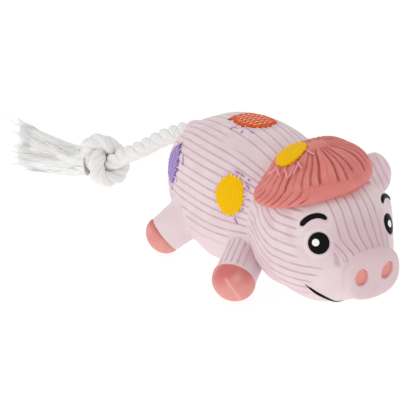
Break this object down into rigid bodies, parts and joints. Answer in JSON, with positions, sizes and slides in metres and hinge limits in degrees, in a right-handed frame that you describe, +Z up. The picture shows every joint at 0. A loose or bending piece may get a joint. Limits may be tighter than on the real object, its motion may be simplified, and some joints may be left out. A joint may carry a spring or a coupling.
{
  "type": "squeaky dog toy",
  "caption": "Stuffed latex pig squeaky toy with a cap, coloured patches, splayed stubby legs and a knotted cotton rope tail.",
  "frame": {"origin": "on the floor, under the middle of the toy's box without its free rope", "axes": "+Z up, -Y the way the pig faces, +X the pig's own left side"},
  "size_m": [0.1111, 0.2789, 0.0812],
  "materials": {
    "pink_latex": "satin",
    "snout_latex": "satin",
    "rose_latex": "satin",
    "black_paint": "gloss paint",
    "white_paint": "gloss paint",
    "orange_latex": "satin",
    "yellow_latex": "satin",
    "purple_latex": "satin",
    "fibre_fill": "loose fibre",
    "squeaker_plastic": "moulded",
    "reed_plastic": "thin sheet",
    "rope_cotton": "twisted cotton"
  },
  "bodies": {
    "toy": {"body_shell": "pink_latex", "head_shell": "pink_latex", "snout": "snout_latex", "left_ear": "pink_latex", "cap_crown": "rose_latex", "cap_brim": "rose_latex", "front_leg_right": "pink_latex", "front_leg_left": "pink_latex", "front_foot_right": "rose_latex", "front_foot_left": "rose_latex", "rear_leg_right": "pink_latex", "rear_leg_left": "pink_latex", "rear_foot_right": "rose_latex", "rear_foot_left": "rose_latex", "eye_right": "black_paint", "eye_left": "black_paint", "eye_glint_right": "white_paint", "eye_glint_left": "white_paint", "brow_right": "black_paint", "brow_left": "black_paint", "nostril_right": "rose_latex", "nostril_left": "rose_latex", "mouth_line": "black_paint", "back_patch": "orange_latex", "flank_patch": "yellow_latex", "rump_patch": "purple_latex", "cap_patch": "yellow_latex", "tail_collar": "snout_latex", "body_stuffing": "fibre_fill", "head_stuffing": "fibre_fill", "squeaker_plug": "squeaker_plastic", "squeaker_bellows": "squeaker_plastic", "reed_seat": "squeaker_plastic", "reed_clamp": "squeaker_plastic", "rope_stopper_knot": "rope_cotton", "rope_anchor": "rope_cotton"},
    "end_plate": {"squeaker_end_plate": "squeaker_plastic"},
    "reed_tongue": {"reed": "reed_plastic"},
    "tail_root": {"rope_root": "rope_cotton"},
    "tail": {"rope_tail": "rope_cotton", "rope_knot": "rope_cotton"},
    "tassel": {"rope_tassel": "rope_cotton"}
  },
  "joints": [
    {"name": "squeaker_press", "type": "slide", "parent": "toy", "child": "end_plate", "axis": [0, 0, -1], "range_m": [0, 0.006], "stiffness_N_per_m": 300, "deforming": ["squeaker_bellows"]},
    {"name": "reed_flutter", "type": "hinge", "parent": "toy", "child": "reed_tongue", "pos_m": [0.00042, 0.0263, 0.0093], "axis": [0, 1, 0], "range_deg": [0, 4], "stiffness_Nm_per_rad": 0.0005},
    {"name": "tail_swing", "type": "hinge", "parent": "toy", "child": "tail_root", "pos_m": [0, 0.08294, 0.04965], "axis": [0, 0, 1], "range_deg": [-30, 30]},
    {"name": "tail_lift", "type": "hinge", "parent": "tail_root", "child": "tail", "pos_m": [-0.00406, 0.10064, 0.04151], "axis": [0.9659, 0.2589, 0], "range_deg": [0, 35]},
    {"name": "tassel_swing", "type": "hinge", "parent": "tail", "child": "tassel", "pos_m": [-0.019, 0.1508, 0.013], "axis": [0, 0, 1], "range_deg": [-30, 30]}
  ]
}
